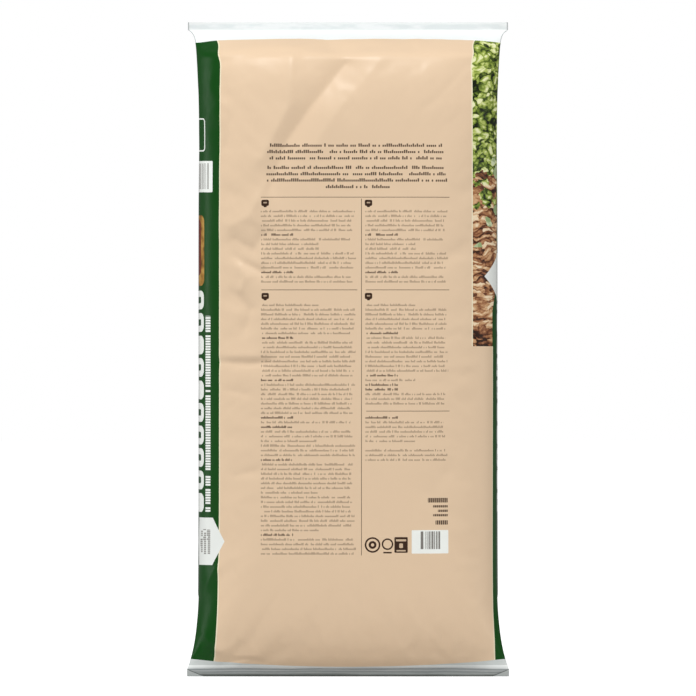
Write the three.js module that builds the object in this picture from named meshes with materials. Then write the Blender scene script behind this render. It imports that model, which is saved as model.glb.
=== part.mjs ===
// A bag of bark mulch: a tube of plastic film with a gusset folded into each
// side, welded across both ends and filled tight, so it is one sealed solid.
//
// The bag stands on its flattened lower end. Millimetres, +Z up. X runs across
// the width and Y through the depth, and the back print faces -Y. The origin is
// the middle of the underside. The top weld stands up as a fin in the middle of
// the depth. The bottom weld is folded towards the back print, where its two
// ends show as flat ears at the corners.

import * as THREE from "three";

// The empty film tube, lying flat
const layFlatWidth = 420;
const gussetDepth = 56;
const weldHeight = 10;
const weldThickness = 2;

// The filled body
const bagHeight = 856;
const bodyWidth = 391;
const bodyDepth = 204;
const gussetSpread = 112;
const gussetBulge = 1;

// How square the section is: a higher power gives flatter panels
const bodyPower = 4;
const endPower = 2.4;
const powerReach = 60;

// The top end: a roof below the weld, then a shoulder that fills out slowly
const roofSlope = 2.7;
const roofSoftness = 3;
const shoulderLoss = 30;
const shoulderReach = 45;
const topFlareReach = 60;
const topFlickReach = 6;
const topFlickShare = 0.55;
const topOpenReach = 38;
const topOpenPower = 1.3;

// The bottom end: rounded under at the front and sides, folded at the back
const foldedWeldSetback = 26;
const foldedWeldLean = 6;
const backTurnReach = 22;
const frontEdgeRadius = 38;
const sideEdgeRadius = 15;
const bottomFlareReach = 40;
const bottomOpenReach = 35;
const frontFoldRise = 95;
const earPower = 9;

// Long soft folds in the film, each along a line of [x, z] points. A ridge has a
// positive height and a valley a negative one, and each fades over its width.
const backFolds = [
  { line: [[-73, 806], [-75, 747], [-112, 675]], width: 22, height: 4.5 },
  { line: [[-4, 800], [-50, 741], [-82, 695], [-100, 640]], width: 20, height: -6.5 },
  { line: [[40, 800], [-10, 741], [-46, 688]], width: 20, height: 3 },
  { line: [[-163, 775], [-154, 730], [-160, 690]], width: 12, height: -4.5 },
  { line: [[-152, 588], [-128, 600], [-108, 640]], width: 15, height: 5 },
  { line: [[-148, 570], [-124, 556], [-112, 575]], width: 12, height: -5 },
  { line: [[60, 640], [120, 560]], width: 30, height: -1.8 },
  { line: [[150, 300], [110, 240]], width: 26, height: -1.6 },
];
const frontFolds = [
  { line: [[110, 780], [60, 690]], width: 24, height: -4 },
  { line: [[-90, 760], [-30, 640]], width: 26, height: 3.5 },
  { line: [[-150, 420], [-60, 395]], width: 20, height: -3 },
  { line: [[40, 250], [150, 215]], width: 24, height: -3 },
];

// The folds die out over this length from either weld
const foldFade = 30;

// A higher sharpness gives rounder folds, a lower one gives creases
const foldSharpness = 1.35;

// Mesh fineness
const panelSteps = 15;
const gussetSteps = 4;
const curveSamples = 240;
const firstRingStep = 2.5;
const ringStepGrowth = 0.16;
const longestRingStep = 21;

const filmColour = 0xe0c4a4;
const filmRoughness = 0.35;

const weldFoot = bagHeight - weldHeight;
const halfWeld = weldThickness / 2;
const halfFlare = (layFlatWidth - bodyWidth) / 2 + gussetBulge;
const foldedWeldY = bodyDepth / 2 - foldedWeldSetback;

const { clamp, lerp } = THREE.MathUtils;
const belowTopWeld = (z) => Math.max(weldFoot - z, 0);
const aboveBottomWeld = (z) => Math.max(z - weldHeight, 0);
const isWelded = (z) => z >= weldFoot || z <= weldHeight;

// How far a rounded lower edge has turned under at height z
function edgeInset(radius, z) {
  const left = clamp(1 - z / radius, 0, 1);
  return radius * (1 - Math.sqrt(1 - left * left));
}

// Half the depth of the body below its roof and shoulders
function crownDepth(z) {
  const down = belowTopWeld(z);
  const roof = roofSlope * down;
  const body = bodyDepth / 2 - shoulderLoss * Math.exp(-down / shoulderReach);
  const soft = -Math.log(Math.exp(-roof / roofSoftness) + Math.exp(-body / roofSoftness));
  return Math.max(roofSoftness * soft, 0) + halfWeld;
}

// Half the depth on the back, where the folded weld leans in under the bag
function backDepth(z) {
  const turn = foldedWeldSetback * Math.exp(-aboveBottomWeld(z) / backTurnReach);
  const lean = foldedWeldLean * clamp(1 - z / weldHeight, 0, 1);
  return crownDepth(z) - turn - lean;
}

function frontDepth(z) {
  return crownDepth(z) - edgeInset(frontEdgeRadius, z);
}

// Flare of the folds towards the full flat width of the top weld
function topFlare(z) {
  const down = belowTopWeld(z);
  const flick = topFlickShare * Math.exp(-down / topFlickReach);
  return halfFlare * (flick + (1 - topFlickShare) * Math.exp(-down / topFlareReach));
}

function bottomFlare(z) {
  return halfFlare * Math.exp(-aboveBottomWeld(z) / bottomFlareReach);
}

// Half the depth between the two folds of a gusset as it opens below the top weld
function openedDepth(z) {
  const open = 1 - Math.exp(-Math.pow(belowTopWeld(z) / topOpenReach, topOpenPower));
  return halfWeld + (gussetSpread / 2 - halfWeld) * open;
}

// The fold between the back panel and the right gusset
function backFold(z) {
  const x = bodyWidth / 2 - gussetBulge + topFlare(z) + bottomFlare(z);
  const turn = Math.exp(-aboveBottomWeld(z) / bottomOpenReach);
  const y = lerp(openedDepth(z), foldedWeldY, turn);
  return new THREE.Vector2(x, -Math.min(y, backDepth(z)));
}

// Where the front panel turns the corner onto the bag's side
function frontCorner(z) {
  const x = bodyWidth / 2 - gussetBulge + topFlare(z) - edgeInset(sideEdgeRadius, z);
  const y = openedDepth(z) - edgeInset(frontEdgeRadius, z) / 2;
  return new THREE.Vector2(x, y);
}

// The fold between the front panel and the right gusset. It starts at the ear
// and comes round to the front corner as the gusset opens.
function frontFold(z) {
  const share = clamp(aboveBottomWeld(z) / frontFoldRise, 0, 1);
  const ear = backFold(z);
  ear.y += weldThickness;
  return ear.lerp(frontCorner(z), THREE.MathUtils.smoothstep(share, 0, 1));
}

// The middle crease of the gusset, tucked in between its two folds
function gussetMiddle(z) {
  const back = backFold(z);
  const front = frontFold(z);
  const half = Math.min(back.distanceTo(front) / 2, gussetDepth);
  const middle = back.clone().lerp(front, 0.5);
  if (isWelded(z)) return middle;
  const tuck = Math.sqrt(gussetDepth * gussetDepth - half * half);
  middle.x += gussetBulge * Math.pow(half / gussetDepth, 4) - tuck;
  return middle;
}

// A panel's line from mid-width to its edge, crowned by the filling
function crownedPanel(depth, edge, power) {
  const points = [];
  const atEdge = Math.pow(Math.abs(edge.y) / depth, power);
  for (let i = 0; i <= curveSamples; i++) {
    const share = i / curveSamples;
    const rise = Math.pow(1 - (1 - atEdge) * Math.pow(share, power), 1 / power);
    points.push(new THREE.Vector2(edge.x * share, depth * rise));
  }
  return points;
}

// The side of the bag from the front corner back to the front fold, where it
// flares out to the ear
function sideWall(corner, fold) {
  const points = [];
  for (let i = 1; i <= curveSamples; i++) {
    const share = i / curveSamples;
    const flare = Math.pow(share, earPower);
    points.push(new THREE.Vector2(lerp(corner.x, fold.x, flare), lerp(corner.y, fold.y, share)));
  }
  return points;
}

// The same line again, as points spread evenly along it
function spreadEvenly(line, steps) {
  const lengths = [0];
  for (let i = 1; i < line.length; i++) {
    lengths.push(lengths[i - 1] + line[i].distanceTo(line[i - 1]));
  }
  const total = lengths[lengths.length - 1];
  const points = [];
  let next = 1;
  for (let step = 0; step <= steps; step++) {
    const wanted = (total * step) / steps;
    while (next < line.length - 1 && lengths[next] < wanted) next++;
    const gap = lengths[next] - lengths[next - 1];
    const share = gap > 0 ? clamp((wanted - lengths[next - 1]) / gap, 0, 1) : 1;
    points.push(line[next - 1].clone().lerp(line[next], share));
  }
  return points;
}

// How far the soft folds lift the film at one place on a panel
function distanceToLine(line, x, z) {
  let nearest = Infinity;
  for (let i = 1; i < line.length; i++) {
    const start = new THREE.Vector2(...line[i - 1]);
    const along = new THREE.Vector2(...line[i]).sub(start);
    const away = new THREE.Vector2(x, z).sub(start);
    const share = clamp(away.dot(along) / along.lengthSq(), 0, 1);
    nearest = Math.min(nearest, away.sub(along.multiplyScalar(share)).length());
  }
  return nearest;
}

function foldLift(folds, x, z) {
  let lift = 0;
  for (const fold of folds) {
    const away = distanceToLine(fold.line, x, z) / fold.width;
    lift += fold.height * Math.exp(-Math.pow(away, foldSharpness));
  }
  return lift;
}

// One closed ring round the bag at height z, from the middle of the back
function ring(z) {
  const power = lerp(endPower, bodyPower, 1 - Math.exp(-belowTopWeld(z) / powerReach));
  const depth = backDepth(z);
  const back = backFold(z);
  const front = frontFold(z);
  const corner = frontCorner(z);
  const middle = gussetMiddle(z);

  const backLine = spreadEvenly(crownedPanel(depth, back, power), panelSteps);
  const frontLine = crownedPanel(frontDepth(z), corner, power);
  const wall = corner.distanceTo(front) > halfWeld / 2 ? sideWall(corner, front) : [];
  const frontPoints = spreadEvenly([...frontLine, ...wall], panelSteps).reverse();

  const half = backLine.map((p) => [p.x, -p.y]);
  for (let i = 1; i <= gussetSteps; i++) half.push(back.clone().lerp(middle, i / gussetSteps).toArray());
  for (let i = 1; i < gussetSteps; i++) half.push(middle.clone().lerp(front, i / gussetSteps).toArray());
  for (const p of frontPoints) half.push(p.toArray());

  const otherHalf = half.slice(1, -1).reverse().map(([x, y]) => [-x, y]);
  const fade = Math.min(belowTopWeld(z), aboveBottomWeld(z), foldFade) / foldFade;
  return [...half, ...otherHalf].map(([x, y]) => {
    const edgeFade = 1 - Math.pow(Math.min(Math.abs(x) / back.x, 1), bodyPower);
    const isBack = y < 0;
    const lift = foldLift(isBack ? backFolds : frontFolds, x, z) * fade * edgeFade;
    return [x, isBack ? y - lift : y + lift, z];
  });
}

// Ring heights from one end, close together at first and then further apart
function heightsFrom(end, direction, reach) {
  const heights = [];
  let away = firstRingStep;
  while (away < reach) {
    heights.push(end + direction * away);
    away += Math.min(firstRingStep + ringStepGrowth * away, longestRingStep);
  }
  return heights;
}

function ringHeights() {
  const waist = bagHeight / 2;
  const lower = heightsFrom(weldHeight, 1, waist - weldHeight);
  const upper = heightsFrom(weldFoot, -1, weldFoot - waist).reverse();
  const opening = firstRingStep / 8;
  return [
    0, weldHeight / 2, weldHeight, weldHeight + opening,
    ...lower, ...upper,
    weldFoot - opening, weldFoot, bagHeight,
  ];
}

// Joins the rings into one closed body, with flat faces at both ends
function loft(rings) {
  const count = rings[0].length;
  const positions = rings.flat(2);
  const faces = [];
  for (let r = 0; r < rings.length - 1; r++) {
    for (let i = 0; i < count; i++) {
      const j = (i + 1) % count;
      const a = r * count + i;
      const b = r * count + j;
      faces.push(a, b, b + count, a, b + count, a + count);
    }
  }
  closeEnd(faces, 0, count, false);
  closeEnd(faces, (rings.length - 1) * count, count, true);
  const geometry = new THREE.BufferGeometry();
  geometry.setAttribute("position", new THREE.Float32BufferAttribute(positions, 3));
  geometry.setIndex(faces);
  geometry.computeVertexNormals();
  return geometry;
}

// Fills a ring with a ladder of faces between its right and left halves
function closeEnd(faces, first, count, up) {
  const right = (i) => first + i;
  const left = (i) => first + ((count - i) % count);
  const add = (a, b, c) => (up ? faces.push(a, b, c) : faces.push(a, c, b));
  const last = count / 2;
  add(right(0), right(1), left(1));
  for (let i = 1; i < last - 1; i++) {
    add(right(i), right(i + 1), left(i + 1));
    add(right(i), left(i + 1), left(i));
  }
  add(right(last - 1), right(last), left(last - 1));
}

const film = new THREE.MeshStandardMaterial({
  color: filmColour,
  roughness: filmRoughness,
  metalness: 0,
});
const bag = new THREE.Mesh(loft(ringHeights().map(ring)), film);
bag.name = "mulch_bag";

const group = new THREE.Group();
group.add(bag);

export default group;
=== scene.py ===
# %% [markdown]
# # A bag of bark mulch
#
# The bag is one tube of printed plastic film. A gusset is folded into each side,
# both ends are welded flat, and bark chips fill it until the panels are tight.
# It stands on its flattened lower end. The solid from the frame gives the place
# and the size, and this script gives the film: its folds, its print and its gloss.

# %% Load the frame
import math

import bmesh
import bpy
import numpy as np
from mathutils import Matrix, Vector


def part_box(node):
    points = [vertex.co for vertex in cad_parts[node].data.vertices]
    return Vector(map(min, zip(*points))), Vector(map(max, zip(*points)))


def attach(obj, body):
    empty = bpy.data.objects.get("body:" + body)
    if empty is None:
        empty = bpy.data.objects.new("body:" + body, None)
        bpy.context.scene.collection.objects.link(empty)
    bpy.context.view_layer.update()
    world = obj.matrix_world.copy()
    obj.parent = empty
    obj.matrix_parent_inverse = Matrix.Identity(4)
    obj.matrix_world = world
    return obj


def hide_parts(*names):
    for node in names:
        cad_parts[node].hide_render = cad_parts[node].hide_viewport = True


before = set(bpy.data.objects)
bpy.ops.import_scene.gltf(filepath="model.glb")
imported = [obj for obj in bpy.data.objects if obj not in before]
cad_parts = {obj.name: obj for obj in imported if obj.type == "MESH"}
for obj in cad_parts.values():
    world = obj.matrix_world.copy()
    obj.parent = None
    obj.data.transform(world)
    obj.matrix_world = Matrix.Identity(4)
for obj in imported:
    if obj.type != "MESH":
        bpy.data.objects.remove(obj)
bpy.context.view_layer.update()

bpy.ops.object.select_all(action="DESELECT")
scene = bpy.context.scene
MM = 0.001
bag_low, bag_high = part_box("mulch_bag")
print("bag solid from", [round(v, 3) for v in bag_low], "to", [round(v, 3) for v in bag_high])

# %% [markdown]
# ## The camera
#
# The photograph shows the bag's width the same at its top and its bottom, so it
# was taken from far away with a long lens, level with the middle of the bag. A
# far camera with a narrow angle gives the same nearly parallel view.

# %% Camera
CAMERA_DISTANCE = 12.0
FRAME_WIDTH = 913.5 * MM
CAMERA_HEIGHT = 428.6 * MM


def add_object(name, data):
    made = bpy.data.objects.new(name, data)
    scene.collection.objects.link(made)
    return made


camera_data = bpy.data.cameras.new("camera")
camera_data.sensor_width = 36.0
camera_data.lens = camera_data.sensor_width * CAMERA_DISTANCE / FRAME_WIDTH
camera_data.clip_end = 100.0
camera = add_object("camera", camera_data)
camera.location = (0, -CAMERA_DISTANCE, CAMERA_HEIGHT)
camera.rotation_euler = (math.radians(90), 0, 0)
scene.camera = camera
print("lens", round(camera_data.lens), "mm at", CAMERA_DISTANCE, "m")

# %% [markdown]
# ## The shape of the filled film
#
# A filled bag has no flat plates: each panel is crowned, and each gusset opens
# from a tuck at the weld to a nearly flat side. A sculpted block could look like
# that from one side, but its print would have nothing to follow. So the film is
# lofted here from rings, as the real tube is, and every point keeps its place on
# the flat film: how far round the tube it lies, and how high.
#
# The sizes are the empty tube's and the filled body's. Lengths are millimetres
# until the mesh is made.

# %% Sizes of the film
FLAT_WIDTH = (bag_high[0] - bag_low[0]) / MM
BAG_HEIGHT = (bag_high[2] - bag_low[2]) / MM
BODY_WIDTH = 391.0
BODY_DEPTH = 204.0
GUSSET_DEPTH = 56.0
GUSSET_SPREAD = 112.0
GUSSET_BULGE = 1.0
WELD_HEIGHT = 10.0
WELD_THICKNESS = 2.0

BODY_POWER = 4.0
END_POWER = 2.4
POWER_REACH = 60.0

ROOF_SLOPE = 2.7
ROOF_SOFTNESS = 3.0
SHOULDER_LOSS = 30.0
SHOULDER_REACH = 45.0
TOP_FLARE_REACH = 60.0
TOP_FLICK_REACH = 6.0
TOP_FLICK_SHARE = 0.55
TOP_OPEN_REACH = 38.0
TOP_OPEN_POWER = 1.3

FOLDED_WELD_SETBACK = 26.0
FOLDED_WELD_LEAN = 6.0
BACK_TURN_REACH = 22.0
FRONT_EDGE_RADIUS = 38.0
SIDE_EDGE_RADIUS = 15.0
BOTTOM_FLARE_REACH = 40.0
BOTTOM_OPEN_REACH = 35.0
FRONT_FOLD_RISE = 95.0
EAR_POWER = 9.0

WELD_FOOT = BAG_HEIGHT - WELD_HEIGHT
HALF_WELD = WELD_THICKNESS / 2
HALF_FLARE = (FLAT_WIDTH - BODY_WIDTH) / 2 + GUSSET_BULGE
FOLDED_WELD_Y = BODY_DEPTH / 2 - FOLDED_WELD_SETBACK
print("empty tube", FLAT_WIDTH, "mm wide,", round(2 * FLAT_WIDTH + 4 * GUSSET_DEPTH), "mm round")

# %% Depth and width of the bag at a height
def below_top(z):
    return max(WELD_FOOT - z, 0.0)


def above_bottom(z):
    return max(z - WELD_HEIGHT, 0.0)


def edge_inset(radius, z):
    left = min(max(1 - z / radius, 0.0), 1.0)
    return radius * (1 - math.sqrt(1 - left * left))


def crown_depth(z):
    down = below_top(z)
    roof = ROOF_SLOPE * down
    body = BODY_DEPTH / 2 - SHOULDER_LOSS * math.exp(-down / SHOULDER_REACH)
    soft = -math.log(math.exp(-roof / ROOF_SOFTNESS) + math.exp(-body / ROOF_SOFTNESS))
    return max(ROOF_SOFTNESS * soft, 0.0) + HALF_WELD


def back_depth(z):
    turn = FOLDED_WELD_SETBACK * math.exp(-above_bottom(z) / BACK_TURN_REACH)
    lean = FOLDED_WELD_LEAN * min(max(1 - z / WELD_HEIGHT, 0.0), 1.0)
    return crown_depth(z) - turn - lean


def front_depth(z):
    return crown_depth(z) - edge_inset(FRONT_EDGE_RADIUS, z)


def top_flare(z):
    down = below_top(z)
    flick = TOP_FLICK_SHARE * math.exp(-down / TOP_FLICK_REACH)
    return HALF_FLARE * (flick + (1 - TOP_FLICK_SHARE) * math.exp(-down / TOP_FLARE_REACH))


def opened_depth(z):
    opened = 1 - math.exp(-((below_top(z) / TOP_OPEN_REACH) ** TOP_OPEN_POWER))
    return HALF_WELD + (GUSSET_SPREAD / 2 - HALF_WELD) * opened


# %% Folds and the gusset's middle crease at a height
def back_fold(z):
    flare = HALF_FLARE * math.exp(-above_bottom(z) / BOTTOM_FLARE_REACH)
    turn = math.exp(-above_bottom(z) / BOTTOM_OPEN_REACH)
    y = opened_depth(z) * (1 - turn) + FOLDED_WELD_Y * turn
    return np.array([BODY_WIDTH / 2 - GUSSET_BULGE + top_flare(z) + flare, -min(y, back_depth(z))])


def front_corner(z):
    x = BODY_WIDTH / 2 - GUSSET_BULGE + top_flare(z) - edge_inset(SIDE_EDGE_RADIUS, z)
    return np.array([x, opened_depth(z) - edge_inset(FRONT_EDGE_RADIUS, z) / 2])


def front_fold(z):
    share = min(above_bottom(z) / FRONT_FOLD_RISE, 1.0)
    eased = share * share * (3 - 2 * share)
    ear = back_fold(z) + np.array([0, WELD_THICKNESS])
    return ear * (1 - eased) + front_corner(z) * eased


def gusset_middle(z):
    back, front = back_fold(z), front_fold(z)
    half = min(np.linalg.norm(back - front) / 2, GUSSET_DEPTH)
    middle = (back + front) / 2
    if WELD_HEIGHT < z < WELD_FOOT:
        tuck = math.sqrt(GUSSET_DEPTH**2 - half**2)
        middle[0] += GUSSET_BULGE * (half / GUSSET_DEPTH) ** 4 - tuck
    return middle


# %% Lines round the bag, as points spread evenly along them
CURVE_SAMPLES = 240


def spread_evenly(line, steps):
    gaps = np.linalg.norm(np.diff(line, axis=0), axis=1)
    along = np.concatenate([[0.0], np.cumsum(gaps)])
    wanted = np.linspace(0, along[-1], steps + 1)
    return np.stack([np.interp(wanted, along, line[:, k]) for k in range(2)], axis=1)


def crowned_panel(depth, edge, power):
    share = np.linspace(0, 1, CURVE_SAMPLES)
    edge_shade_mask = (abs(edge[1]) / depth) ** power
    rise = (1 - (1 - edge_shade_mask) * share**power) ** (1 / power)
    return np.stack([edge[0] * share, depth * rise], axis=1)


def side_wall(corner, fold):
    share = np.linspace(0, 1, CURVE_SAMPLES)[1:]
    x = corner[0] + (fold[0] - corner[0]) * share**EAR_POWER
    y = corner[1] + (fold[1] - corner[1]) * share
    return np.stack([x, y], axis=1)


# %% One ring of the film
BACK_STEPS = 36
GUSSET_STEPS = 7
FRONT_STEPS = 24


def ring(z):
    power = END_POWER + (BODY_POWER - END_POWER) * (1 - math.exp(-below_top(z) / POWER_REACH))
    back, front, corner, middle = back_fold(z), front_fold(z), front_corner(z), gusset_middle(z)
    back_line = spread_evenly(crowned_panel(back_depth(z), back, power), BACK_STEPS)
    back_line[:, 1] *= -1
    front_line = crowned_panel(front_depth(z), corner, power)
    if np.linalg.norm(corner - front) > HALF_WELD / 2:
        front_line = np.concatenate([front_line, side_wall(corner, front)])
    front_line = spread_evenly(front_line, FRONT_STEPS)[::-1]
    share = np.linspace(0, 1, GUSSET_STEPS + 1)[1:, None]
    inward = back + (middle - back) * share
    outward = middle + (front - middle) * share
    half = np.concatenate([back_line, inward, outward, front_line[1:]])
    other = half[1:-1][::-1] * np.array([-1, 1])
    flat = np.concatenate([half, other])
    return np.column_stack([flat, np.full(len(flat), z)])


def film_places():
    """How far round the tube each point of half a ring lies, from the middle of the back."""
    back = np.linspace(0, FLAT_WIDTH / 2, BACK_STEPS + 1)
    gusset = FLAT_WIDTH / 2 + np.linspace(0, 2 * GUSSET_DEPTH, 2 * GUSSET_STEPS + 1)
    front = FLAT_WIDTH / 2 + 2 * GUSSET_DEPTH + np.linspace(0, FLAT_WIDTH / 2, FRONT_STEPS + 1)
    return np.concatenate([back, gusset[1:], front[1:]])


# %% Ring heights, close together at the ends
FIRST_RING_STEP = 1.6
RING_STEP_GROWTH = 0.11
LONGEST_RING_STEP = 6.4
WELD_RINGS = 5


def heights_from(end, direction, reach):
    heights, away = [], FIRST_RING_STEP
    while away < reach:
        heights.append(end + direction * away)
        away += min(FIRST_RING_STEP + RING_STEP_GROWTH * away, LONGEST_RING_STEP)
    return heights


def ring_heights():
    waist = BAG_HEIGHT / 2
    lower = heights_from(WELD_HEIGHT, 1, waist - WELD_HEIGHT)
    upper = heights_from(WELD_FOOT, -1, WELD_FOOT - waist)[::-1]
    opening = FIRST_RING_STEP / 8
    across_weld = [WELD_HEIGHT * i / WELD_RINGS for i in range(WELD_RINGS + 1)]
    top_weld = [WELD_FOOT + away for away in across_weld]
    return across_weld + [WELD_HEIGHT + opening] + lower + upper + [WELD_FOOT - opening] + top_weld


heights = ring_heights()
print(len(heights), "rings of", 2 * (len(film_places()) - 1), "points")

# %% [markdown]
# ## The mesh
#
# The rings are joined by quads, and each end is filled by a ladder of quads
# between its left and right halves. The film map stores, in metres, how far
# round the tube and how high each corner lies, and all the print reads it.

# %% Loft the rings
GUSSET_CREASE = 0.6


def loft_film(name):
    points = np.array([ring(z) for z in heights])
    rings, count = points.shape[:2]
    half = count // 2
    round_tube = film_places()
    mesh = bmesh.new()
    verts = [[mesh.verts.new(Vector(p) * MM) for p in row] for row in points]
    film = mesh.loops.layers.uv.new("film")

    def face(corners, places):
        made = mesh.faces.new(corners)
        for loop, (u, v) in zip(made.loops, places):
            loop[film].uv = (u * MM, v * MM)

    for r in range(rings - 1):
        low, high = heights[r], heights[r + 1]
        for i in range(count):
            j = (i + 1) % count
            if i < half:
                left, right = round_tube[i], round_tube[i + 1]
            else:
                left, right = -round_tube[count - i], -round_tube[count - i - 1]
            corners = [verts[r][i], verts[r][j], verts[r + 1][j], verts[r + 1][i]]
            face(corners, [(left, low), (right, low), (right, high), (left, high)])

    for row, up in ((0, False), (rings - 1, True)):
        line = verts[row]
        for i in range(half):
            corners = [line[i], line[i + 1], line[(count - i - 1) % count], line[(count - i) % count]]
            corners = list(dict.fromkeys(corners))
            if not up:
                corners.reverse()
            face(corners, [(c.co.x / MM, heights[row]) for c in corners])

    sharp = mesh.edges.layers.float.new("crease_edge")
    for edge in mesh.edges:
        z = min(vert.co.z for vert in edge.verts) / MM
        if z > WELD_FOOT - WELD_THICKNESS or max(vert.co.z for vert in edge.verts) == 0:
            edge[sharp] = 1.0
    gusset_end = BACK_STEPS + 2 * GUSSET_STEPS
    for column in (BACK_STEPS, gusset_end, count - gusset_end, count - BACK_STEPS):
        for low, high in zip(verts, verts[1:]):
            fold = mesh.edges.get((low[column], high[column]))
            fold[sharp] = max(fold[sharp], GUSSET_CREASE)

    data = bpy.data.meshes.new(name)
    mesh.to_mesh(data)
    mesh.free()
    return add_object(name, data)


bag = loft_film("mulch_bag_film")
print("film of", len(bag.data.vertices), "points and", len(bag.data.polygons), "faces")

# %% [markdown]
# ## Soft folds and creases
#
# The panels are not perfectly smooth. Where the filling is slack, near the top
# left, the film falls in long soft folds, and here and there it has a sharp
# crease from being handled. Each is a line of a few points with a width and a
# height: a ridge where the height is above zero, else a valley.
# They lift the mesh itself, so they catch the light as real folds do.

# %% Folds and creases as lines on the panels
# The (x, z) points of a line, then its width and its height, all in millimetres
BACK_FOLDS = [
    ([(-73, 806), (-75, 747), (-112, 675)], 18, 5.5),
    ([(-4, 800), (-50, 741), (-82, 695), (-100, 640)], 19, -7.5),
    ([(40, 800), (-10, 741), (-46, 688)], 20, 3.0),
    ([(-176, 800), (-141, 808), (-112, 815), (-60, 812)], 7, -2.6),
    ([(-176, 812), (-120, 822), (-60, 820)], 9, 1.6),
    ([(-163, 775), (-154, 730), (-160, 690)], 12, -4.5),
    ([(-152, 588), (-128, 600), (-108, 640)], 15, 5.0),
    ([(-148, 570), (-124, 556), (-112, 575)], 12, -5.0),
    ([(-148, 549), (-137, 541), (-112, 528)], 6, -4.0),
    ([(-142, 535), (-134, 520), (-140, 505)], 6, 3.6),
    ([(-150, 500), (-128, 480), (-134, 455)], 10, -4.2),
    ([(-166, 410), (-130, 408), (-104, 410)], 6, -4.4),
    ([(-160, 419), (-120, 418)], 6, 2.6),
    ([(-160, 374), (-134, 369)], 7, -2.4),
    ([(-150, 262), (-122, 268)], 8, -2.2),
    ([(-171, 140), (-192, 108)], 9, 8.0),
    ([(-194, 62), (-170, 34)], 8, 9.0),
    ([(-160, 18), (-134, 23), (-112, 19)], 4, -4.0),
    ([(-146, 28), (-118, 27)], 5, 2.0),
    ([(60, 640), (120, 560)], 30, -1.8),
    ([(150, 300), (110, 240)], 26, -1.6),
]
FRONT_FOLDS = [
    ([(110, 780), (60, 690)], 24, -4),
    ([(-90, 760), (-30, 640)], 26, 3.5),
    ([(-150, 420), (-60, 395)], 20, -3),
    ([(40, 250), (150, 215)], 24, -3),
]
FOLD_FADE = 30.0
FOLD_SHARPNESS = 1.15


def points_of(data):
    flat = np.empty(len(data.vertices) * 3)
    data.vertices.foreach_get("co", flat)
    return flat.reshape(-1, 3)


def set_points(data, points):
    data.vertices.foreach_set("co", np.ascontiguousarray(points).ravel())
    data.update()


def distance_to_line(x, z, points):
    nearest = np.full(len(x), np.inf)
    for start, end in zip(points, points[1:]):
        along = np.subtract(end, start).astype(float)
        away = np.stack([x - start[0], z - start[1]], axis=1)
        share = np.clip(away @ along / (along @ along), 0, 1)
        nearest = np.minimum(nearest, np.linalg.norm(away - share[:, None] * along, axis=1))
    return nearest


def raise_folds(piece, folds, side):
    """Lifts one panel of the piece along its folds; side is -1 for the back and 1 for the front."""
    co = points_of(piece.data) / MM
    x, y, z = co.T
    fade = np.clip(np.minimum(WELD_FOOT - z, z - WELD_HEIGHT) / FOLD_FADE, 0, 1)
    edge_fade = 1 - np.clip(np.abs(x) / (BODY_WIDTH / 2), 0, 1) ** BODY_POWER
    lift = np.zeros(len(co))
    for points, width, height in folds:
        lift += height * np.exp(-((distance_to_line(x, z, points) / width) ** FOLD_SHARPNESS))
    lift *= fade * edge_fade * (np.sign(y) == side)
    normals = np.empty(co.size)
    piece.data.vertex_normals.foreach_get("vector", normals)
    set_points(piece.data, (co + normals.reshape(-1, 3) * lift[:, None]) * MM)
    print("lifted up to", round(float(np.abs(lift).max()), 1), "mm")


# %% [markdown]
# ## Wrinkles from a cloth simulation
#
# Film that is pulled tight at a weld and slack beside it wrinkles in a way that
# is hard to draw. A cloth simulation gives it: the film is made 1% too large,
# pressed out from inside and held at its welds. It swells as well, which the real
# bag has done already, so the swelling is taken away again: what is kept is how
# far each point moved beyond the average of its neighbours, at most a few
# millimetres, less in the middle of a panel, where the filling holds the film
# smooth, and little of it sideways, which keeps the bag's outline straight.
# The wrinkles then lie on the lofted shape.

# %% Simulate the film
SLACK = -0.01
PRESSURE = 2.0
FILM_WEIGHT = 0.02
FILM_STIFFNESS = 15.0
FILM_BENDING = 0.05
FILM_SHEAR_SHARE = 0.3
AIR_DAMPING = 2.0
STEPS_PER_FRAME = 6
SIMULATED_FRAMES = 20
SWELLING_PASSES = 120
LARGEST_WRINKLE = 5.0
SIDEWAYS_SHARE = 0.15
MIDDLE_SHARE = 0.45
FREE_REACH = 20.0


def apply_modifier(piece, modifier):
    bpy.context.view_layer.objects.active = piece
    piece.select_set(True)
    bpy.ops.object.modifier_apply(modifier=modifier.name)


def simulate_film(piece):
    held = piece.vertex_groups.new(name="held at the welds")
    heights_mm = points_of(piece.data)[:, 2] / MM
    welded = (heights_mm <= WELD_HEIGHT + HALF_WELD) | (heights_mm >= WELD_FOOT - HALF_WELD)
    held.add([int(i) for i in np.nonzero(welded)[0]], 1.0, "REPLACE")
    cloth = piece.modifiers.new("film", "CLOTH")
    settings = cloth.settings
    settings.quality = STEPS_PER_FRAME
    settings.mass = FILM_WEIGHT
    settings.tension_stiffness = settings.compression_stiffness = FILM_STIFFNESS
    settings.shear_stiffness = FILM_SHEAR_SHARE * FILM_STIFFNESS
    settings.bending_stiffness = FILM_BENDING
    settings.air_damping = AIR_DAMPING
    settings.use_pressure = True
    settings.uniform_pressure_force = PRESSURE
    settings.shrink_min = SLACK
    settings.effector_weights.gravity = 0
    settings.vertex_group_mass = held.name
    cloth.collision_settings.use_collision = False
    for frame_number in range(1, SIMULATED_FRAMES + 1):
        scene.frame_set(frame_number)
    apply_modifier(piece, cloth)
    piece.select_set(False)
    scene.frame_set(1)
    piece.vertex_groups.clear()


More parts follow.
